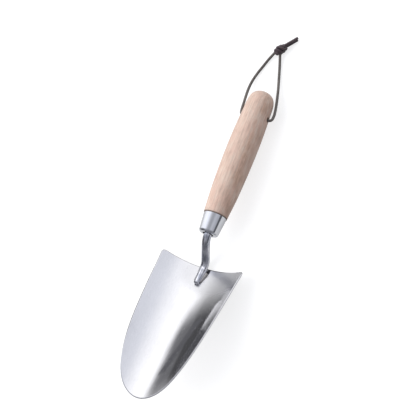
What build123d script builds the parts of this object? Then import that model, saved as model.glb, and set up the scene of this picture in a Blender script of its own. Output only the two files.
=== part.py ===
from build123d import *
import os
from math import atan2, cos, degrees, pi, radians, sin, tan

# Hand trowel: a pressed steel scoop on a cranked steel bar, whose tang is glued into a turned
# wooden handle with a drawn steel ferrule, and a leather thong looped through the handle.
#
# Every piece is drawn in the tool's own frame, in millimetres: the handle's axis is Y, the
# ferrule's mouth is at Y = 0, the butt is at +Y, X is the blade's width and +Z is the side that
# the scoop opens to.  place() then lays the tool down as it rests: on the back of the blade at
# its heel and on the butt of the handle, with the origin under the middle of its box.

# blade: a piece of a cone, cut to its outline
blade_length = 149.0
blade_sheet = 1.6
heel_half_width = 43.8
heel_bend_radius = 66.2
tip_bend_radius = 44.0
heel_corner_radius = 3.8
edge_round = 0.7
cone_margin = 40.0
cutter_depth = 20.0
cutter_height = 80.0
heel_y = -26.4
heel_z = -26.2
blade_pitch = 15.5

# neck bar: tang, crank and the tongue that is welded to the blade
bar_diameter = 8.0
tang_length = 74.0
tang_tip_chamfer = 1.5
crank_start_y = -5.2
crank_radius = 12.0
heel_bend_distance = -1.5
heel_bend = 9.0
bar_stand_off = 3.65
tongue_taper_start = 6.5
tongue_length = 20.2
tongue_end_diameter = 4.8
tongue_end_stand_off = 2.1
tongue_end_shift = -0.5
tongue_end_round = 1.4

# weld beads, in the corners between the tongue and the blade
left_bead_start = 1.0
left_bead_start_offset = 3.6
left_bead_start_radius = 1.4
left_bead_end = 15.5
left_bead_end_offset = 3.3
left_bead_end_radius = 1.3
right_bead_start = 7.0
right_bead_start_offset = 3.9
right_bead_start_radius = 1.9
right_bead_end = 16.5
right_bead_end_offset = 2.3
right_bead_end_radius = 1.0
bead_start_height = 0.75
bead_end_height = 0.6

# ferrule
ferrule_length = 19.0
ferrule_mouth_radius = 9.6
ferrule_top_radius = 11.45
ferrule_wall = 0.9
ferrule_roll = 2.4
ferrule_hole_radius = 5.4

# handle
handle_end_y = 155.3
handle_joint_radius = 11.9
joint_chamfer = 0.5
spigot_nose_y = 4.0
tang_bore_radius = 4.5
tang_bore_end = 77.0
hole_y = 128.0
hole_diameter = 5.0
mouth_round = 0.7

# lanyard: one round leather thong through the cross hole, its ends tied in one knot.
# The route of each half is a list of points from the middle of the hole to the knot, and from
# the knot to the cut end, as the thong lies on the surface, measured from the rest frame's origin.
thong_diameter = 2.8
left_strand = [
    (0.0, 134.5, 14.2),
    (-7.8, 134.5, 14.2),
    (-15.0, 134.1, 14.3),
    (-16.8, 137.6, 12.7),
    (-18.3, 146.8, 9.9),
    (-20.3, 158.4, 6.6),
    (-21.2, 170.0, 3.9),
    (-19.2, 182.0, 2.2),
    (-15.5, 192.6, 1.6),
    (-11.6, 202.2, 2.4),
    (-7.2, 209.0, 4.0),
]
right_strand = [
    (0.0, 134.5, 14.2),
    (7.8, 134.5, 14.2),
    (15.4, 133.6, 14.4),
    (18.0, 136.0, 13.4),
    (17.2, 144.2, 11.1),
    (13.7, 156.4, 7.5),
    (9.3, 170.2, 3.8),
    (4.5, 184.6, 1.8),
    (0.6, 198.2, 1.9),
    (-2.0, 207.4, 3.6),
]
lower_tail = [
    (-0.2, 215.6, 3.4),
    (4.2, 221.0, 2.0),
    (9.8, 227.4, 1.6),
]
upper_tail = [
    (-0.4, 215.9, 6.2),
    (4.6, 221.8, 5.0),
    (10.4, 228.4, 4.4),
]
knot_centre = (-2.7, 212.1, 5.0)
knot_axis = (0.68, 0.73, 0.0)
knot_length = 13.0
knot_radius = 4.8
knot_end_round = 3.8

# lying on a surface
first_lie_angle = 5.0
lie_angle_rounds = 6


def section(x, y):
    """Vector in the tool's own YZ plane, from a distance along Y and a height along Z."""
    return Vector(0, x, y)


# ---------------------------------------------------------------- blade

pitch = radians(blade_pitch)
along_blade = Vector(0, -cos(pitch), sin(pitch))
blade_normal = Vector(0, sin(pitch), cos(pitch))
heel_point = section(heel_y, heel_z)
blade_plane = Plane(origin=heel_point, x_dir=(1, 0, 0), z_dir=blade_normal)


def on_blade(distance, height):
    """Point above the bottom of the scoop, at a distance from the heel towards the tip."""
    return heel_point + along_blade * distance + blade_normal * height


def scoop_cone(offset):
    """Solid cone whose lowest line is the bottom of the scoop, moved outwards by offset."""
    slope = atan2(heel_bend_radius - tip_bend_radius, blade_length)
    apex_distance = heel_bend_radius / tan(slope)
    near = apex_distance * cos(slope) - blade_length - cone_margin
    far = apex_distance * cos(slope) + cone_margin
    grown = offset / cos(slope)
    axis_direction = along_blade * -cos(slope) + blade_normal * sin(slope)
    apex = on_blade(apex_distance, 0)
    base = Plane(origin=apex + axis_direction * near, x_dir=(1, 0, 0), z_dir=axis_direction)
    cone = Cone(near * tan(slope) + grown, far * tan(slope) + grown, far - near,
                align=(Align.CENTER, Align.CENTER, Align.MIN))
    return base.location * cone


def blade_outline():
    """Flat outline of the blade: a straight heel, long sides and a round tip, tip towards -Y."""
    side_points = [
        (heel_half_width, 0),
        (41.4, -30),
        (39.1, -60),
        (35.8, -90),
        (28.9, -120),
        (18.4, -140),
        (0, -blade_length),
    ]
    side = Spline(side_points, tangents=[(-0.14, -1), (-1, 0)])
    heel = Line((0, 0), (heel_half_width, 0))
    middle = Line((0, -blade_length), (0, 0))
    half = make_face([heel, side, middle])
    outline = half + mirror(half, about=Plane.YZ)
    corners = [v for v in outline.vertices() if abs(abs(v.X) - heel_half_width) < 0.1]
    return fillet(corners, heel_corner_radius)


def make_blade():
    shell = scoop_cone(blade_sheet) - scoop_cone(0)
    cutter = extrude(blade_plane.offset(-cutter_depth) * blade_outline(), cutter_height)
    scoop = shell & cutter
    inner_face, outer_face = scoop.faces().sort_by(SortBy.AREA)[-2:]
    rim = inner_face.edges() + outer_face.edges()
    return fillet(rim, edge_round)


# ---------------------------------------------------------------- neck bar and welds

def make_neck_bar():
    """Round bar: tang along the handle's axis, crank down to the heel, tapered tongue."""
    radius = bar_diameter / 2
    tang_end = section(tang_length, 0)
    crank = section(crank_start_y, 0)
    heel_turn = on_blade(heel_bend_distance, bar_stand_off)
    tongue_end = on_blade(tongue_length, tongue_end_stand_off) + Vector(tongue_end_shift, 0, 0)
    along_tongue = (tongue_end - heel_turn).normalized()
    taper_start = heel_turn + along_tongue * tongue_taper_start
    path = FilletPolyline([tang_end, crank, heel_turn, taper_start], radius=[crank_radius, heel_bend])
    round_bar = sweep(Plane(origin=tang_end, z_dir=(0, -1, 0)) * Circle(radius), path=path)
    tang_tip = Plane(origin=tang_end, z_dir=(0, 1, 0)).location * Cone(
        radius, radius - tang_tip_chamfer, tang_tip_chamfer, align=(Align.CENTER, Align.CENTER, Align.MIN))
    tongue_run = (tongue_end - taper_start).length
    tongue = Plane(origin=taper_start, z_dir=along_tongue).location * Cone(
        radius, tongue_end_diameter / 2, tongue_run, align=(Align.CENTER, Align.CENTER, Align.MIN))
    end_edge = tongue.edges().filter_by(GeomType.CIRCLE).sort_by_distance(tongue_end)[0]
    tongue = fillet(end_edge, tongue_end_round)
    return round_bar + tang_tip + tongue - blade


def make_weld_bead(first, first_radius, last, last_radius):
    """Bead of filler in the corner between the tongue and the blade, rounded at both ends."""
    bead = Plane(origin=first, z_dir=last - first).location * Cone(
        first_radius, last_radius, (last - first).length, align=(Align.CENTER, Align.CENTER, Align.MIN))
    bead += Pos(*first) * Sphere(first_radius)
    bead += Pos(*last) * Sphere(last_radius)
    return bead - blade - neck_bar


# ---------------------------------------------------------------- ferrule, handle and glue

def ferrule_radius(y):
    """Outer radius of the ferrule at a distance from its mouth."""
    return ferrule_mouth_radius + (ferrule_top_radius - ferrule_mouth_radius) * y / ferrule_length


def make_ferrule():
    inner = ferrule_radius(ferrule_wall) - ferrule_wall
    outline = Polyline([
        (ferrule_hole_radius, 0),
        (ferrule_mouth_radius, 0),
        (ferrule_top_radius, ferrule_length),
        (ferrule_top_radius - ferrule_wall, ferrule_length),
        (inner, ferrule_wall),
        (ferrule_hole_radius, ferrule_wall),
    ], close=True)
    face = make_face(outline)
    rolled = [v for v in face.vertices() if v.Y < 0.01 and v.X > ferrule_mouth_radius - 0.1]
    face = fillet(rolled, ferrule_roll)
    return revolve(face, axis=Axis.Y)


def make_handle():
    joint_y = ferrule_length
    spigot = [
        (tang_bore_radius, spigot_nose_y),
        (ferrule_radius(spigot_nose_y) - ferrule_wall, spigot_nose_y),
        (ferrule_top_radius - ferrule_wall, joint_y),
        (handle_joint_radius - joint_chamfer, joint_y),
        (handle_joint_radius, joint_y + joint_chamfer),
    ]
    grip = [
        spigot[-1],
        (13.4, 38),
        (14.5, 61),
        (15.1, 87),
        (14.75, 115),
        (13.8, 136.5),
        (10.3, 151.2),
        (0, handle_end_y),
    ]
    nose = Polyline(spigot)
    side = Spline(grip, tangents=[(0.06, 1), (-1, 0)])
    axis_line = Polyline([(0, handle_end_y), (0, tang_bore_end), (tang_bore_radius, tang_bore_end), spigot[0]])
    body = revolve(make_face([nose, side, axis_line]), axis=Axis.Y)
    hole = Pos(0, hole_y, 0) * Rot(0, 90, 0) * Cylinder(hole_diameter / 2, 4 * handle_joint_radius)
    drilled = body - hole
    bore_wall = drilled.faces().filter_by(GeomType.CYLINDER).sort_by(Axis.Y)[-1]
    mouths = [edge for edge in bore_wall.edges() if edge.geom_type != GeomType.LINE]
    return fillet(mouths, mouth_round)


def make_tang_glue():
    """Epoxy that fills the bore round the tang and past its tip."""
    length = tang_bore_end - spigot_nose_y
    fill = Pos(0, spigot_nose_y, 0) * Rot(-90, 0, 0) * Cylinder(
        tang_bore_radius, length, align=(Align.CENTER, Align.CENTER, Align.MIN))
    return fill - neck_bar


blade = make_blade()
neck_bar = make_neck_bar()
weld_bead_left = make_weld_bead(
    on_blade(left_bead_start, bead_start_height) - Vector(left_bead_start_offset, 0, 0), left_bead_start_radius,
    on_blade(left_bead_end, bead_end_height) - Vector(left_bead_end_offset, 0, 0), left_bead_end_radius)
weld_bead_right = make_weld_bead(
    on_blade(right_bead_start, bead_start_height) + Vector(right_bead_start_offset, 0, 0), right_bead_start_radius,
    on_blade(right_bead_end, bead_end_height) + Vector(right_bead_end_offset, 0, 0), right_bead_end_radius)
ferrule = make_ferrule()
handle = make_handle()
tang_glue = make_tang_glue()

rigid = {
    "blade": blade,
    "neck_bar": neck_bar,
    "weld_bead_left": weld_bead_left,
    "weld_bead_right": weld_bead_right,
    "ferrule": ferrule,
    "handle": handle,
    "tang_glue": tang_glue,
}


# ---------------------------------------------------------------- lanyard

def arc_radii(points):
    """Radius of each corner's arc: 0.45 of the shorter run over the tangent of half the turn."""
    radii = []
    for before, corner, after in zip(points, points[1:], points[2:]):
        first = Vector(*corner) - Vector(*before)
        second = Vector(*after) - Vector(*corner)
        half_turn = radians(first.get_angle(second)) / 2
        radii.append(0.45 * min(first.length, second.length) / tan(half_turn))
    return radii


def make_thong(label, points):
    """Plain tube of the thong along straight runs joined by tangent arcs."""
    radii = arc_radii(points)
    path = FilletPolyline(points, radius=radii)
    first_run = Vector(*points[1]) - Vector(*points[0])
    start = Plane(origin=points[0], z_dir=first_run)
    tube = sweep(start * Circle(thong_diameter / 2), path=path)
    section_by_length = pi * thong_diameter ** 2 / 4 * path.length
    print(label, "length", round(path.length, 1), "radii", [round(radius, 1) for radius in radii])
    print(label, "volume", round(tube.volume, 1), "section by length", round(section_by_length, 1))
    return tube


def make_knot():
    """Outer shape of the tied knot: a barrel with rounded ends along the line of the tails."""
    barrel = Cylinder(knot_radius, knot_length)
    barrel = fillet(barrel.edges().filter_by(GeomType.CIRCLE), knot_end_round)
    return Plane(origin=knot_centre, z_dir=knot_axis).location * barrel


# ---------------------------------------------------------------- lying on a surface

def rest_angle():
    """Angle that the tool turns about X so that the heel and the butt stand at one height."""
    angle = first_lie_angle
    for step in range(lie_angle_rounds):
        low_blade = (Rot(-angle, 0, 0) * blade).bounding_box().min.Z
        low_handle = (Rot(-angle, 0, 0) * handle).bounding_box().min.Z
        angle += degrees(atan2(low_handle - low_blade, handle_end_y - heel_y))
    return angle


lie_angle = rest_angle()
lying = Compound(children=[Rot(-lie_angle, 0, 0) * copy for copy in (blade, handle)]).bounding_box()
place = Pos(0, -(lying.min.Y + lying.max.Y) / 2, -lying.min.Z) * Rot(-lie_angle, 0, 0)

lanyard = {
    "lanyard_strand_left": make_thong("left strand", left_strand),
    "lanyard_strand_right": make_thong("right strand", right_strand),
    "lanyard_knot": make_knot(),
    "lanyard_tail_lower": make_thong("lower tail", lower_tail),
    "lanyard_tail_upper": make_thong("upper tail", upper_tail),
}

hole_centre = (place * Pos(0, hole_y, 0)).position
print("lanyard hinge at", hole_centre, "tool lies at", round(lie_angle, 3), "degrees")

os.makedirs("parts", exist_ok=True)
pieces = {name: place * piece for name, piece in rigid.items()}
pieces.update(lanyard)
for name, piece in pieces.items():
    piece.label = name
    export_step(piece, "parts/" + name + ".step")
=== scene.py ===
import math

import bpy
from mathutils import Matrix, Vector


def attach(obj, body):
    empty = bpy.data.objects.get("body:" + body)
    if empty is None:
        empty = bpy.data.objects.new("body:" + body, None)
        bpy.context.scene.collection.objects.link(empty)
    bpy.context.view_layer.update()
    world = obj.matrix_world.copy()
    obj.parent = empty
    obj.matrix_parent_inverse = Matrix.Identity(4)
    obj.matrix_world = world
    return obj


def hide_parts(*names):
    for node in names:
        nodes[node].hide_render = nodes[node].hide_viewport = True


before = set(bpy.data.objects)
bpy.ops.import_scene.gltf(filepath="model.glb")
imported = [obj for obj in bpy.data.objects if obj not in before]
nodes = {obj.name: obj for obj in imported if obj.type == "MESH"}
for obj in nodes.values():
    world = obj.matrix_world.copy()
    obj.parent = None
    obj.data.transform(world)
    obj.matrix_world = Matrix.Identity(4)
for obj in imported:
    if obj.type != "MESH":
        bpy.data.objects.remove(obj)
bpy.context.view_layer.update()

# How the tool lies, in degrees: the handle's axis falls towards the butt, and the blade rises to its tip.
# In coordinates turned by these about X, Y runs along the handle or along the blade.
HANDLE_SLOPE = 4.76
BLADE_SLOPE = 10.73


# ---------------------------------------------------------------- camera

CAMERA_AZIMUTH = 62.92
CAMERA_ELEVATION = 64.95
CAMERA_LEAN = 20.67
CAMERA_DISTANCE = 1.170
CAMERA_LENS = 103.5
CAMERA_SENSOR = 36
CAMERA_NEAREST = 0.01
CAMERA_FURTHEST = 50
CAMERA_AIM = Vector((-0.0108, 0.03225, 0.01497))


def make_camera():
    """Long lens over the blade's right shoulder. The lean is how far the picture's up turns from +Y."""
    azimuth = math.radians(CAMERA_AZIMUTH)
    elevation = math.radians(CAMERA_ELEVATION)
    back = Vector((
        math.sin(azimuth) * math.cos(elevation),
        -math.cos(azimuth) * math.cos(elevation),
        math.sin(elevation),
    ))
    lean = math.radians(CAMERA_LEAN)
    up_hint = Vector((-math.sin(lean), math.cos(lean), 0))
    right = up_hint.cross(back).normalized()
    up = back.cross(right)
    data = bpy.data.cameras.new("camera")
    data.lens = CAMERA_LENS
    data.sensor_width = CAMERA_SENSOR
    data.clip_start = CAMERA_NEAREST
    data.clip_end = CAMERA_FURTHEST
    camera = bpy.data.objects.new("camera", data)
    bpy.context.scene.collection.objects.link(camera)
    turn = Matrix((right, up, back)).transposed().to_4x4()
    camera.matrix_world = Matrix.Translation(CAMERA_AIM + back * CAMERA_DISTANCE) @ turn
    bpy.context.scene.camera = camera


make_camera()


# ---------------------------------------------------------------- lanyard

THONG_DIAMETER = 0.0028
# routes from the middle of the cross hole to the knot, and from the knot to the cut ends
LEFT_STRAND = [
    (0.0, 0.1345, 0.0142),
    (-0.0078, 0.1345, 0.0142),
    (-0.0150, 0.1341, 0.0143),
    (-0.0168, 0.1376, 0.0127),
    (-0.0183, 0.1468, 0.0099),
    (-0.0203, 0.1584, 0.0066),
    (-0.0212, 0.1700, 0.0039),
    (-0.0192, 0.1820, 0.0022),
    (-0.0155, 0.1926, 0.0016),
    (-0.0116, 0.2022, 0.0024),
    (-0.0072, 0.2090, 0.0040),
]
RIGHT_STRAND = [
    (0.0, 0.1345, 0.0142),
    (0.0078, 0.1345, 0.0142),
    (0.0154, 0.1336, 0.0144),
    (0.0180, 0.1360, 0.0134),
    (0.0172, 0.1442, 0.0111),
    (0.0137, 0.1564, 0.0075),
    (0.0093, 0.1702, 0.0038),
    (0.0045, 0.1846, 0.0018),
    (0.0006, 0.1982, 0.0019),
    (-0.0020, 0.2074, 0.0036),
]
LOWER_TAIL = [
    (-0.0002, 0.2156, 0.0034),
    (0.0042, 0.2210, 0.0020),
    (0.0098, 0.2274, 0.0016),
]
UPPER_TAIL = [
    (-0.0004, 0.2159, 0.0062),
    (0.0046, 0.2218, 0.0050),
    (0.0104, 0.2284, 0.0044),
]

KNOT_CENTRE = Vector((-0.0027, 0.2121, 0.0050))
KNOT_AXIS = Vector((0.68, 0.73, 0.0)).normalized()
KNOT_HALF_LENGTH = 0.0051
KNOT_WRAP_RADIUS = 0.0033
KNOT_PITCH = 0.0146
KNOT_STEPS = 40
KNOT_SQUARENESS = 0.6
KNOT_CORE_DIAMETER = 0.0038
# each turn of the knot: its angle round the axis in degrees, its shift along it and its share of the radius
KNOT_TURNS = [
    (20, -0.0003, 1.00),
    (108, 0.0005, 1.05),
    (200, -0.0005, 0.96),
    (292, 0.0002, 1.02),
]


def nurbs_curve(name, routes, diameter):
    """Round tubes along smooth curves with the routes' points as their control points.

    A point's radius widens the curve's box, so it is the tube's own radius, and bevel_depth is 1.
    """
    data = bpy.data.curves.new(name, "CURVE")
    data.dimensions = "3D"
    data.bevel_depth = 1.0
    data.bevel_resolution = 6
    data.use_fill_caps = True
    for route in routes:
        spline = data.splines.new("NURBS")
        spline.points.add(len(route) - 1)
        for point, place in zip(spline.points, route):
            point.co = (*place, 1)
            point.radius = diameter / 2
        spline.order_u = 3
        spline.use_endpoint_u = True
        spline.resolution_u = 12
    piece = bpy.data.objects.new(name, data)
    bpy.context.scene.collection.objects.link(piece)
    return piece


def knot_turn(start_angle, shift, share):
    """One turn of the knot: out of the core at one end, slantwise round the barrel, and in at the other."""
    upright = Vector((0, 0, 1))
    across = KNOT_AXIS.cross(upright)
    route = []
    for step in range(KNOT_STEPS + 1):
        swing = math.pi * (step / KNOT_STEPS - 0.5)
        along = math.copysign(abs(math.sin(swing)) ** KNOT_SQUARENESS, swing) * KNOT_HALF_LENGTH
        radius = max(math.cos(swing), 0) ** KNOT_SQUARENESS * KNOT_WRAP_RADIUS * share
        angle = math.radians(start_angle) - 2 * math.pi * along / KNOT_PITCH
        outwards = across * math.cos(angle) + upright * math.sin(angle)
        route.append(KNOT_CENTRE + KNOT_AXIS * (along + shift) + outwards * radius)
    return route


def make_lanyard():
    """The thong's two halves, its two cut ends and the knot that ties them.

    Returns the two strands, and the pieces that are tied or cut.
    """
    left = nurbs_curve("thong_left", [LEFT_STRAND], THONG_DIAMETER)
    right = nurbs_curve("thong_right", [RIGHT_STRAND], THONG_DIAMETER)
    lower = nurbs_curve("thong_tail_lower", [LOWER_TAIL], THONG_DIAMETER)
    upper = nurbs_curve("thong_tail_upper", [UPPER_TAIL], THONG_DIAMETER)
    knot = nurbs_curve("thong_knot", [knot_turn(*turn) for turn in KNOT_TURNS], THONG_DIAMETER)
    half_core = KNOT_AXIS * KNOT_HALF_LENGTH
    core = nurbs_curve("thong_knot_core", [[KNOT_CENTRE - half_core, KNOT_CENTRE, KNOT_CENTRE + half_core]],
                       KNOT_CORE_DIAMETER)
    stands_for = {
        left: "lanyard_strand_left",
        right: "lanyard_strand_right",
        knot: "lanyard_knot",
        lower: "lanyard_tail_lower",
        upper: "lanyard_tail_upper",
    }
    for piece, node in stands_for.items():
        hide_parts(node)
    for piece in [left, right, knot, core, lower, upper]:
        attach(piece, "lanyard")
    return [left, right], [knot, core, lower, upper]


strand_pieces, knotted_pieces = make_lanyard()


# ---------------------------------------------------------------- material helpers

# the sockets of a Mix node that mixes colours
MIX_FACTOR = 0
MIX_FIRST = 6
MIX_SECOND = 7
MIX_RESULT = 2


def empty_material(name):
    """Node material with an output and nothing else. Returns it, its tree and the socket for a shader."""
    material = bpy.data.materials.new(name)
    material.use_nodes = True
    tree = material.node_tree
    tree.nodes.clear()
    output = tree.nodes.new("ShaderNodeOutputMaterial")
    return material, tree, output.inputs["Surface"]


def new_material(name, metallic=0.0):
    """Node material with one Principled shader. Returns the material, its tree and the shader."""
    material, tree, surface = empty_material(name)
    shader = tree.nodes.new("ShaderNodeBsdfPrincipled")
    shader.inputs["Metallic"].default_value = metallic
    tree.links.new(shader.outputs["BSDF"], surface)
    return material, tree, shader


def mapped(tree, scale, turn_x=0.0, move=(0, 0, 0)):
    """Coordinates in the shared frame, turned about X in degrees, moved and scaled.

    A noise's scale is about its spots per metre along X, Y and Z, so a low one along Y draws them out.
    """
    coordinates = tree.nodes.new("ShaderNodeTexCoord")
    turn = tree.nodes.new("ShaderNodeMapping")
    turn.vector_type = "POINT"
    turn.inputs["Location"].default_value = move
    turn.inputs["Rotation"].default_value = (math.radians(turn_x), 0, 0)
    tree.links.new(coordinates.outputs["Object"], turn.inputs["Vector"])
    stretch = tree.nodes.new("ShaderNodeVectorMath")
    stretch.operation = "MULTIPLY"
    stretch.inputs[1].default_value = scale
    tree.links.new(turn.outputs["Vector"], stretch.inputs[0])
    return stretch.outputs["Vector"]


def component(tree, vector, axis):
    """The vector's X, Y or Z."""
    split = tree.nodes.new("ShaderNodeSeparateXYZ")
    tree.links.new(vector, split.inputs["Vector"])
    return split.outputs[axis]


def noise(tree, vector, detail, roughness, distortion=0.0):
    """Cloudy noise from 0 to 1. The vector's scale sets its size."""
    node = tree.nodes.new("ShaderNodeTexNoise")
    node.inputs["Scale"].default_value = 1.0
    node.inputs["Detail"].default_value = detail
    node.inputs["Roughness"].default_value = roughness
    node.inputs["Distortion"].default_value = distortion
    tree.links.new(vector, node.inputs["Vector"])
    return node.outputs["Fac"]


def cells(tree, vector):
    """Distance from the middle of the nearest of many small cells."""
    node = tree.nodes.new("ShaderNodeTexVoronoi")
    node.inputs["Scale"].default_value = 1.0
    tree.links.new(vector, node.inputs["Vector"])
    return node.outputs["Distance"]


def ramp(tree, value, stops):
    """Colour ramp from (position, grey or rgb) stops."""
    node = tree.nodes.new("ShaderNodeValToRGB")
    elements = node.color_ramp.elements
    while len(elements) < len(stops):
        elements.new(0.5)
    for element, (position, colour) in zip(elements, stops):
        element.position = position
        if isinstance(colour, (int, float)):
            colour = (colour, colour, colour)
        element.color = (*colour, 1)
    tree.links.new(value, node.inputs["Fac"])
    return node.outputs["Color"]


def mix(tree, kind, factor, first, second):
    """Colour mix. Each of factor, first and second is a socket or a plain value."""
    node = tree.nodes.new("ShaderNodeMix")
    node.data_type = "RGBA"
    node.blend_type = kind
    for place, value in ((MIX_FACTOR, factor), (MIX_FIRST, first), (MIX_SECOND, second)):
        socket = node.inputs[place]
        if isinstance(value, bpy.types.NodeSocket):
            tree.links.new(value, socket)
        elif place == MIX_FACTOR:
            socket.default_value = value
        else:
            socket.default_value = (*value, 1)
    return node.outputs[MIX_RESULT]


def shaded(tree, colour, amount, value, stops):
    """The colour made darker or lighter by a ramp of the value."""
    return mix(tree, "MULTIPLY", amount, colour, ramp(tree, value, stops))


def patched(tree, colour, value, stops, second):
    """The colour with patches of a second one, as thick as a ramp of the value says."""
    return mix(tree, "MIX", ramp(tree, value, stops), colour, second)


def map_range(tree, value, start=0.0, end=1.0, low=0.0, high=1.0, kind="LINEAR"):
    """The value as a number from low, at start, to high, at end."""
    node = tree.nodes.new("ShaderNodeMapRange")
    node.interpolation_type = kind
    node.inputs["From Min"].default_value = start
    node.inputs["From Max"].default_value = end
    node.inputs["To Min"].default_value = low
    node.inputs["To Max"].default_value = high
    tree.links.new(value, node.inputs["Value"])
    return node.outputs["Result"]


def grey_range(tree, value, low, high):
    """The value, from 0 to 1, as a number from low to high."""
    return map_range(tree, value, low=low, high=high)


def straight_step(tree, value, start, end):
    """0 at start, 1 at end, straight between and no further."""
    return map_range(tree, value, start, end)


def smooth_step(tree, value, start, end):
    """0 on start's side, 1 on end's side, smooth between."""
    return map_range(tree, value, start, end, kind="SMOOTHSTEP")


def near(tree, centre, half_size, turn_x):
    """1 inside an egg shape and 0 outside it. The centre is in coordinates turned about X in degrees."""
    outside = 1.25
    inside = 0.75
    move = [-value for value in centre]
    scale = [1 / value for value in half_size]
    distance = tree.nodes.new("ShaderNodeVectorMath")
    distance.operation = "LENGTH"
    tree.links.new(mapped(tree, scale, turn_x, move), distance.inputs[0])
    return smooth_step(tree, distance.outputs["Value"], outside, inside)


def connect(tree, shader, colour, roughness, heights):
    """Gives the shader its colour, its roughness and bumps one on another, finest last.

    Each height is (socket, strength, depth in metres).
    """
    tree.links.new(colour, shader.inputs["Base Color"])
    tree.links.new(roughness, shader.inputs["Roughness"])
    normal = None
    for height, strength, depth in heights:
        node = tree.nodes.new("ShaderNodeBump")
        node.inputs["Strength"].default_value = strength
        node.inputs["Distance"].default_value = depth
        tree.links.new(height, node.inputs["Height"])
        if normal:
            tree.links.new(normal, node.inputs["Normal"])
        normal = node.outputs["Normal"]
    tree.links.new(normal, shader.inputs["Normal"])


# ---------------------------------------------------------------- steel

# places on the blade, in coordinates turned by its slope
WELD_NOTCH = (0.0050, -0.0248, -0.0018)
HEEL_EDGE = (0.0080, -0.0214, -0.0010)
HAND_GROUND = (0.012, -0.0310, 0.005)

# how far each mark reaches from its place
NOTCH_SHADE_ON_BLADE = (0.0015, 0.0042, 0.0022)
NOTCH_SHADE_ON_BAR = (0.0022, 0.0042, 0.0022)
HEEL_SHADOW_SIZE = (0.013, 0.0011, 0.006)
HAND_GROUND_SIZE = (0.034, 0.020, 0.03)

NOTCH_SHADE_TINT = (0.10, 0.10, 0.11)
HEEL_SHADOW_TINT = (0.30, 0.30, 0.32)
EDGE_SHADE_TINT = (0.42, 0.42, 0.43)

# in degrees: how far the scratches stray from the brushing, and how the crank's polishing lines slope
SCRATCH_SLANT = 3
BAR_LINES_SLOPE = 45.0


def notch_shaded(tree, tint, half_size):
    """The tint, blackened with painted shade in the notch beside the weld."""
    return mix(tree, "MULTIPLY", near(tree, WELD_NOTCH, half_size, BLADE_SLOPE), tint, NOTCH_SHADE_TINT)


def blade_material():
    """Satin stainless sheet, brushed along the scoop and duller near the heel, with scratches and stains.

    Painted shade darkens the cut edge at the heel, a painted shadow lines the heel edge beside the neck, and
    painted shade blackens the notch beside the weld.
    """
    material, tree, shader = new_material("blade_steel", metallic=1.0)
    brushed = noise(tree, mapped(tree, (1500, 22, 1500), BLADE_SLOPE), 5.0, 0.7)
    broad = noise(tree, mapped(tree, (170, 9, 170), BLADE_SLOPE), 3.0, 0.5)
    scratch = noise(tree, mapped(tree, (3400, 75, 3400), BLADE_SLOPE + SCRATCH_SLANT), 2.0, 0.5, 0.3)
    stain = noise(tree, mapped(tree, (34, 26, 34)), 4.0, 0.6)
    dents = noise(tree, mapped(tree, (42, 30, 42)), 2.0, 0.4)
    deep = ramp(tree, scratch, [(0.66, 0.0), (0.74, 1.0)])

    tint = mix(tree, "MIX", brushed, (0.57, 0.57, 0.585), (0.71, 0.71, 0.72))
    tint = shaded(tree, tint, 0.5, stain, [(0.35, 0.92), (0.6, 1.0)])
    # Painted shade: the cut edge at the heel, whose faces turn towards the handle, is darkened.
    facing = tree.nodes.new("ShaderNodeTexCoord").outputs["Normal"]
    edge_shade = smooth_step(tree, component(tree, facing, "Y"), 0.5, 0.8)
    tint = mix(tree, "MULTIPLY", edge_shade, tint, EDGE_SHADE_TINT)
    # Painted shade: the blade is blackened in the notch between the bar and the blade, beside the weld.
    tint = notch_shaded(tree, tint, NOTCH_SHADE_ON_BLADE)
    # Painted shadow: a dark line along the heel edge right of the neck, where the neck's shadow falls.
    heel_shadow = near(tree, HEEL_EDGE, HEEL_SHADOW_SIZE, BLADE_SLOPE)
    tint = mix(tree, "MULTIPLY", heel_shadow, tint, HEEL_SHADOW_TINT)

    fine_rough = grey_range(tree, brushed, 0.05, 0.15)
    broad_rough = grey_range(tree, broad, 0.05, 0.13)
    rough = mix(tree, "MIX", 0.5, fine_rough, broad_rough)
    hand_ground = near(tree, HAND_GROUND, HAND_GROUND_SIZE, BLADE_SLOPE)
    rough = mix(tree, "MIX", hand_ground, rough, (0.30, 0.30, 0.30))
    rough = mix(tree, "ADD", 0.25, rough, deep)
    connect(tree, shader, tint, rough, [
        (dents, 0.25, 0.0005),
        (broad, 0.25, 0.00012),
        (brushed, 0.30, 0.00002),
        (deep, 0.3, 0.00002),
    ])
    return material


def bar_material():
    """Polished round bar with the slow waves that bending and polishing leave, and painted shade in the notch
    beside the weld.
    """
    material, tree, shader = new_material("bar_steel", metallic=1.0)
    waves = noise(tree, mapped(tree, (170, 120, 170)), 2.0, 0.5)
    lines = noise(tree, mapped(tree, (900, 90, 220), BAR_LINES_SLOPE), 4.0, 0.6)
    pits = noise(tree, mapped(tree, (2600, 2600, 2600)), 2.0, 0.5)
    broad_waves = ramp(tree, waves, [(0.4, 0.0), (0.62, 1.0)])
    tint = mix(tree, "MIX", broad_waves, (0.52, 0.54, 0.60), (0.88, 0.88, 0.92))
    tint = shaded(tree, tint, 0.8, lines, [(0.38, 0.60), (0.52, 1.05)])
    # Painted shade: the bar is blackened where it meets the blade, in the notch beside the weld.
    tint = notch_shaded(tree, tint, NOTCH_SHADE_ON_BAR)
    connect(tree, shader, tint, grey_range(tree, lines, 0.08, 0.24), [
        (waves, 0.35, 0.0005),
        (lines, 0.2, 0.00004),
        (pits, 0.1, 0.00002),
    ])
    return material


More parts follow.
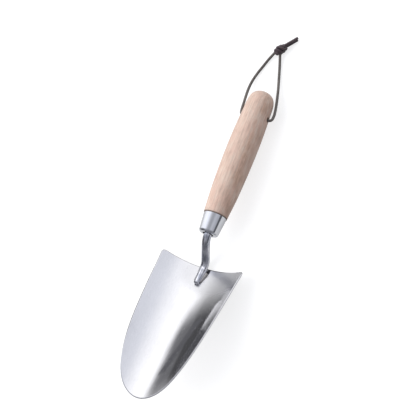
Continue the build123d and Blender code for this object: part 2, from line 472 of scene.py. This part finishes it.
def ferrule_material():
    """Drawn and polished tube: hair-fine rings from the spinning, faint smears, a little waviness."""
    material, tree, shader = new_material("ferrule_steel", metallic=1.0)
    rings = noise(tree, mapped(tree, (25, 2600, 25), HANDLE_SLOPE), 3.0, 0.6)
    waves = noise(tree, mapped(tree, (110, 70, 110), HANDLE_SLOPE), 2.0, 0.5)
    smears = noise(tree, mapped(tree, (260, 90, 260), HANDLE_SLOPE), 4.0, 0.6)
    tint = mix(tree, "MIX", smears, (0.74, 0.755, 0.79), (0.86, 0.87, 0.89))
    ring_rough = grey_range(tree, rings, 0.03, 0.09)
    smear_rough = grey_range(tree, smears, 0.03, 0.11)
    connect(tree, shader, tint, mix(tree, "MIX", 0.5, ring_rough, smear_rough), [
        (waves, 0.12, 0.0004),
        (rings, 0.12, 0.000012),
    ])
    return material


def weld_material():
    """Ground weld metal: rippled across the bead, a little browned by the heat."""
    material, tree, shader = new_material("weld_steel", metallic=1.0)
    ripples = noise(tree, mapped(tree, (240, 900, 240), BLADE_SLOPE), 3.0, 0.6, 0.4)
    heat = noise(tree, mapped(tree, (300, 160, 300)), 3.0, 0.6)
    tint = mix(tree, "MIX", heat, (0.34, 0.33, 0.33), (0.48, 0.46, 0.44))
    connect(tree, shader, tint, grey_range(tree, ripples, 0.22, 0.42), [(ripples, 0.4, 0.00015)])
    return material


# ---------------------------------------------------------------- wood

# The handle's axis and the wood's pith, in coordinates turned by the handle's slope.
# The pith leans from the axis by a few tenths of a degree.
HANDLE_AXIS_Z = 0.0258
PITH_X = -0.070
PITH_BELOW_AXIS = 0.030
PITH_LEAN = 0.5

# where the wood leaves the ferrule, along the handle, and how far the painted shade of the joint's gap reaches
# from there
JOINT_Y = 0.0237
JOINT_SHADE_REACH = 0.0050

# the late wood is a band across X, which sways a little from side to side along the handle
BAND_HALF_WIDTH = 0.016
BAND_SWAY = 0.004

PALE_WOOD = (0.705, 0.518, 0.418)
BROWN_WOOD = (0.57, 0.375, 0.275)
CREAM_WOOD = (0.70, 0.560, 0.462)
PINK_WOOD = (0.72, 0.485, 0.390)
PORE_BROWN = (0.33, 0.21, 0.155)


def year_rings(tree):
    """Saw-toothed value across the wood's year rings."""
    rings = tree.nodes.new("ShaderNodeTexWave")
    rings.wave_type = "RINGS"
    rings.rings_direction = "Y"
    rings.wave_profile = "SAW"
    rings.inputs["Scale"].default_value = 1.0
    rings.inputs["Distortion"].default_value = 1.2
    rings.inputs["Detail"].default_value = 3.0
    rings.inputs["Detail Scale"].default_value = 0.4
    from_pith = (-PITH_X, 0, PITH_BELOW_AXIS - HANDLE_AXIS_Z)
    vector = mapped(tree, (120, 7, 120), HANDLE_SLOPE + PITH_LEAN, from_pith)
    tree.links.new(vector, rings.inputs["Vector"])
    return rings.outputs["Fac"]


def late_wood_band(tree, sway):
    """How much late wood shows: little on the left, most right of the middle, less at the right edge."""
    across = tree.nodes.new("ShaderNodeMath")
    across.operation = "ADD"
    tree.links.new(component(tree, mapped(tree, (1, 1, 1)), "X"), across.inputs[0])
    tree.links.new(grey_range(tree, sway, -BAND_SWAY, BAND_SWAY), across.inputs[1])
    place = straight_step(tree, across.outputs["Value"], -BAND_HALF_WIDTH, BAND_HALF_WIDTH)
    return ramp(tree, place, [
        (0.0, 0.10), (0.45, 0.08), (0.62, 0.10), (0.73, 0.52), (0.82, 1.0), (0.90, 0.90), (1.0, 0.60),
    ])


def wood_material():
    """Pale ash, turned and lightly sealed: a broad band of late wood, fine rings, flecks and long pores."""
    material, tree, shader = new_material("handle_ash")

    def figure(scale, detail, roughness):
        """Noise about the handle's axis."""
        return noise(tree, mapped(tree, scale, HANDLE_SLOPE, (0, 0, -HANDLE_AXIS_Z)), detail, roughness)

    fibres = figure((1900, 42, 1900), 5.0, 0.65)
    flecks = figure((780, 40, 780), 3.0, 0.6)
    blotch = figure((70, 42, 70), 4.0, 0.6)
    mottle = figure((240, 80, 240), 3.0, 0.6)
    pores = figure((3600, 120, 3600), 2.0, 0.5)
    late_wood = late_wood_band(tree, figure((35, 9, 35), 3.0, 0.5))
    year = year_rings(tree)

    colour = mix(tree, "MIX", late_wood, PALE_WOOD, BROWN_WOOD)
    colour = patched(tree, colour, blotch, [(0.46, 0.0), (0.66, 0.6)], PINK_WOOD)
    colour = patched(tree, colour, mottle, [(0.46, 0.0), (0.66, 0.7)], CREAM_WOOD)
    colour = shaded(tree, colour, 1.0, mottle, [(0.32, 0.88), (0.48, 1.0)])
    colour = shaded(tree, colour, 0.45, year, [(0.0, 1.03), (0.6, 0.98), (0.88, 0.84), (1.0, 0.92)])
    colour = shaded(tree, colour, 1.0, flecks, [(0.30, 0.83), (0.5, 1.0), (0.70, 1.08)])
    colour = shaded(tree, colour, 0.6, fibres, [(0.3, 0.86), (0.65, 1.04)])
    open_pores = ramp(tree, pores, [(0.60, 0.0), (0.70, 1.0)])
    pore_marks = shaded(tree, open_pores, 1.0, year, [(0.0, 0.55), (0.45, 0.4), (0.8, 0.1)])
    colour = mix(tree, "MIX", pore_marks, colour, PORE_BROWN)

    # Painted shade: a dark line on the wood next to the ferrule joint, where the gap is in shadow.
    along = component(tree, mapped(tree, (1, 1, 1), HANDLE_SLOPE), "Y")
    from_joint = straight_step(tree, along, JOINT_Y, JOINT_Y + JOINT_SHADE_REACH)
    colour = shaded(tree, colour, 1.0, from_joint, [(0.0, 0.24), (0.20, 0.28), (0.34, 0.92), (1.0, 1.0)])

    shader.inputs["Specular IOR Level"].default_value = 0.5
    shader.inputs["Coat Weight"].default_value = 0.25
    shader.inputs["Coat Roughness"].default_value = 0.32
    connect(tree, shader, colour, grey_range(tree, fibres, 0.42, 0.58), [
        (year, 0.12, 0.00012),
        (flecks, 0.2, 0.00008),
        (fibres, 0.25, 0.00005),
        (pore_marks, 0.4, -0.00006),
    ])
    return material


# ---------------------------------------------------------------- leather and glue

# dark, light and rubbed leather, along the strands and where it is tied
STRAND_TONES = [(0.070, 0.058, 0.050), (0.150, 0.132, 0.115), (0.190, 0.172, 0.152)]
KNOTTED_TONES = [(0.030, 0.016, 0.021), (0.085, 0.055, 0.062), (0.120, 0.090, 0.092)]


def leather_material(name, tones):
    """Round waxed thong: ribbed aslant by its twist, finely creased, paler where it has rubbed."""
    material, tree, shader = new_material(name)
    dark, light, rubbed = tones
    grain = noise(tree, mapped(tree, (1300, 1300, 1300)), 5.0, 0.65)
    creases = cells(tree, mapped(tree, (950, 620, 950)))
    wear = noise(tree, mapped(tree, (120, 120, 120)), 3.0, 0.6)
    ribs = tree.nodes.new("ShaderNodeTexWave")
    ribs.bands_direction = "DIAGONAL"
    ribs.inputs["Scale"].default_value = 1.0
    ribs.inputs["Distortion"].default_value = 1.0
    tree.links.new(mapped(tree, (150, 420, 150)), ribs.inputs["Vector"])
    twist = ribs.outputs["Fac"]
    colour = mix(tree, "MIX", grain, dark, light)
    colour = patched(tree, colour, wear, [(0.45, 0.0), (0.7, 0.6)], rubbed)
    colour = shaded(tree, colour, 0.5, twist, [(0.0, 0.6), (0.5, 1.0)])
    shader.inputs["Sheen Weight"].default_value = 0.15
    connect(tree, shader, colour, grey_range(tree, grain, 0.36, 0.56), [
        (twist, 0.3, 0.00012),
        (creases, 0.25, 0.00012),
        (grain, 0.3, 0.00005),
    ])
    return material


def glue_material():
    """Cured epoxy, amber, with small bubbles."""
    material, tree, shader = new_material("amber_epoxy")
    cloud = noise(tree, mapped(tree, (150, 150, 150)), 3.0, 0.6)
    bubbles = cells(tree, mapped(tree, (700, 700, 700)))
    colour = mix(tree, "MIX", cloud, (0.55, 0.42, 0.18), (0.68, 0.56, 0.30))
    connect(tree, shader, colour, grey_range(tree, cloud, 0.15, 0.30), [(bubbles, 0.2, 0.0001)])
    return material


# ---------------------------------------------------------------- materials on their pieces

weld = weld_material()
strand_leather = leather_material("thong_leather", STRAND_TONES)
knotted_leather = leather_material("thong_leather_knotted", KNOTTED_TONES)
node_materials = {
    "blade": blade_material(),
    "neck_bar": bar_material(),
    "ferrule": ferrule_material(),
    "weld_bead_left": weld,
    "weld_bead_right": weld,
    "handle": wood_material(),
    "tang_glue": glue_material(),
    "lanyard_strand_left": strand_leather,
    "lanyard_strand_right": strand_leather,
    "lanyard_knot": knotted_leather,
    "lanyard_tail_lower": knotted_leather,
    "lanyard_tail_upper": knotted_leather,
}
for node_name, node_material in node_materials.items():
    node_slots = nodes[node_name].data.materials
    node_slots.clear()
    node_slots.append(node_material)
for piece in strand_pieces:
    piece.data.materials.append(strand_leather)
for piece in knotted_pieces:
    piece.data.materials.append(knotted_leather)


# ---------------------------------------------------------------- floor and light

FLOOR_HALF_SIZE = 3.0
FLOOR_PAPER = (0.40, 0.40, 0.40, 1)
FLOOR_GLOW = 0.24
FLOOR_GLOW_SEEN = 0.72

KEY_SIZE = 1.3
KEY_ENERGY = 19.0
KEY_PLACE = Vector((-1.0, -0.50, 1.10))
KEY_AIM = Vector((0, 0.03, 0.02))

# the room's light by direction: 0 looks away from the bright wall, 1 looks at it
BRIGHT_WALL = (-0.42, 0.907, 0.0)
WALL_STOPS = [
    (0.05, (0.17, 0.175, 0.19)),
    (0.28, (0.29, 0.295, 0.33)),
    (0.36, (0.36, 0.37, 0.41)),
    (0.42, (0.46, 0.47, 0.52)),
    (0.5, (0.52, 0.53, 0.58)),
    (0.58, (0.63, 0.64, 0.70)),
    (0.63, (0.82, 0.84, 0.92)),
    (0.72, (0.95, 0.97, 1.05)),
    (0.84, (1.42, 1.42, 1.45)),
    (1.0, (1.5, 1.5, 1.52)),
]
# shares of that light by height, 0 at the horizon and 1 overhead
WALL_FOOT_STOPS = [(0.0, 0.50), (0.24, 0.45), (0.33, 0.52), (0.45, 0.70), (0.52, 0.90), (0.6, 1.0)]
CEILING_STOPS = [(0.84, 1.0), (0.92, 0.80), (0.97, 0.62), (1.0, 0.58)]
SKIRTING_STOPS = [(0.32, 0.30), (0.42, 1.0)]
ROOM_STRENGTH = 1.15
ROOM_SEEN = (0.9, 0.9, 0.9)

FLAG_X = -0.062
FLAG_CORNERS = [(-0.15, 0.0), (0.06, 0.0), (0.06, 0.14), (-0.15, 0.14)]
FLAG_TONE_HEIGHT = 0.1
FLAG_TONES = [(0.0, 0.09), (0.52, 0.10), (0.60, 0.21), (1.0, 0.25)]
FLAG_TINT = (1.0, 1.0, 1.06)
# where each soft edge of the flag starts and where it is full
FLAG_TOP_EDGE = (0.120, 0.080)
FLAG_TIP_EDGE = (-0.135, -0.085)
FLAG_BUTT_EDGE = (0.031, -0.026)

RIM_CARD_X = -0.0455
RIM_CARD_CORNERS = [(-0.090, 0.069), (-0.031, 0.0325), (-0.031, 0.0455), (-0.090, 0.085)]
RIM_CARD_GREY = (0.155, 0.155, 0.17, 1)


def make_floor():
    """Light table: pale paper lit from below as far as the camera sees it, so that shadows stay faint."""
    data = bpy.data.meshes.new("floor")
    half = FLOOR_HALF_SIZE
    corners = [(-half, -half, 0), (half, -half, 0), (half, half, 0), (-half, half, 0)]
    data.from_pydata(corners, [], [(0, 1, 2, 3)])
    floor = bpy.data.objects.new("floor", data)
    bpy.context.scene.collection.objects.link(floor)
    material, tree, shader = new_material("floor_paper")
    shader.inputs["Base Color"].default_value = FLOOR_PAPER
    shader.inputs["Roughness"].default_value = 0.9
    shader.inputs["Emission Color"].default_value = (1, 1, 1, 1)
    seen = tree.nodes.new("ShaderNodeLightPath").outputs["Is Camera Ray"]
    glow = grey_range(tree, seen, FLOOR_GLOW, FLOOR_GLOW_SEEN)
    tree.links.new(glow, shader.inputs["Emission Strength"])
    data.materials.append(material)


def make_key_light():
    """Big soft light high on the tool's left. The polished steel doesn't mirror it."""
    data = bpy.data.lights.new("key", "AREA")
    data.size = KEY_SIZE
    data.energy = KEY_ENERGY
    light = bpy.data.objects.new("key", data)
    light.location = KEY_PLACE
    light.visible_glossy = False
    light.rotation_euler = (KEY_AIM - KEY_PLACE).to_track_quat("-Z", "Y").to_euler()
    bpy.context.scene.collection.objects.link(light)


def make_world():
    """Studio with a big bright wall behind the butt, a dim ceiling and front, and a dark foot on the right."""
    world = bpy.data.worlds.new("studio")
    bpy.context.scene.world = world
    world.use_nodes = True
    tree = world.node_tree
    tree.nodes.clear()
    output = tree.nodes.new("ShaderNodeOutputWorld")
    background = tree.nodes.new("ShaderNodeBackground")
    tree.links.new(background.outputs["Background"], output.inputs["Surface"])
    direction = tree.nodes.new("ShaderNodeTexCoord").outputs["Generated"]
    to_wall = tree.nodes.new("ShaderNodeVectorMath")
    to_wall.operation = "DOT_PRODUCT"
    to_wall.inputs[1].default_value = BRIGHT_WALL
    tree.links.new(direction, to_wall.inputs[0])
    facing = to_wall.outputs["Value"]
    height = component(tree, direction, "Z")
    rightwards = component(tree, direction, "X")

    sky = ramp(tree, straight_step(tree, facing, -1.0, 1.0), WALL_STOPS)
    sky = shaded(tree, sky, smooth_step(tree, facing, 0.45, 0.7), height, WALL_FOOT_STOPS)
    sky = shaded(tree, sky, 1.0, height, CEILING_STOPS)
    sky = shaded(tree, sky, smooth_step(tree, rightwards, 0.80, 0.90), height, SKIRTING_STOPS)
    seen = tree.nodes.new("ShaderNodeLightPath").outputs["Is Camera Ray"]
    tree.links.new(mix(tree, "MIX", seen, sky, ROOM_SEEN), background.inputs["Color"])
    background.inputs["Strength"].default_value = ROOM_STRENGTH


def stage_card(name, place_x, corners, material):
    """Upright card in a plane of constant X, with (Y, Z) corners. It shows only in reflections."""
    data = bpy.data.meshes.new(name)
    data.from_pydata([(place_x, *corner) for corner in corners], [], [(0, 1, 2, 3)])
    data.materials.append(material)
    card = bpy.data.objects.new(name, data)
    bpy.context.scene.collection.objects.link(card)
    card.visible_camera = False
    card.visible_diffuse = False
    card.visible_shadow = False


def make_flag():
    """Dark soft-edged card close to the blade's left side."""
    material, tree, surface = empty_material("flag_card")
    clear = tree.nodes.new("ShaderNodeBsdfTransparent")
    card = tree.nodes.new("ShaderNodeEmission")
    place = tree.nodes.new("ShaderNodeTexCoord").outputs["Object"]
    along = component(tree, place, "Y")
    height = component(tree, place, "Z")
    tone = ramp(tree, straight_step(tree, height, 0.0, FLAG_TONE_HEIGHT), FLAG_TONES)
    tree.links.new(mix(tree, "MULTIPLY", 1.0, tone, FLAG_TINT), card.inputs["Color"])
    cover = smooth_step(tree, height, *FLAG_TOP_EDGE)
    cover = mix(tree, "MULTIPLY", 1.0, cover, smooth_step(tree, along, *FLAG_TIP_EDGE))
    cover = mix(tree, "MULTIPLY", 1.0, cover, smooth_step(tree, along, *FLAG_BUTT_EDGE))
    blend = tree.nodes.new("ShaderNodeMixShader")
    tree.links.new(cover, blend.inputs["Fac"])
    tree.links.new(clear.outputs["BSDF"], blend.inputs[1])
    tree.links.new(card.outputs["Emission"], blend.inputs[2])
    tree.links.new(blend.outputs["Shader"], surface)
    stage_card("flag", FLAG_X, FLAG_CORNERS, material)


def make_rim_card():
    """Narrow grey card beside the blade's left rim, which the right wall sees by way of the left one."""
    material, tree, surface = empty_material("rim_card")
    card = tree.nodes.new("ShaderNodeEmission")
    card.inputs["Color"].default_value = RIM_CARD_GREY
    tree.links.new(card.outputs["Emission"], surface)
    stage_card("rim_card", RIM_CARD_X, RIM_CARD_CORNERS, material)


make_floor()
make_world()
make_flag()
make_rim_card()
make_key_light()
bpy.context.scene.view_settings.view_transform = "Standard"
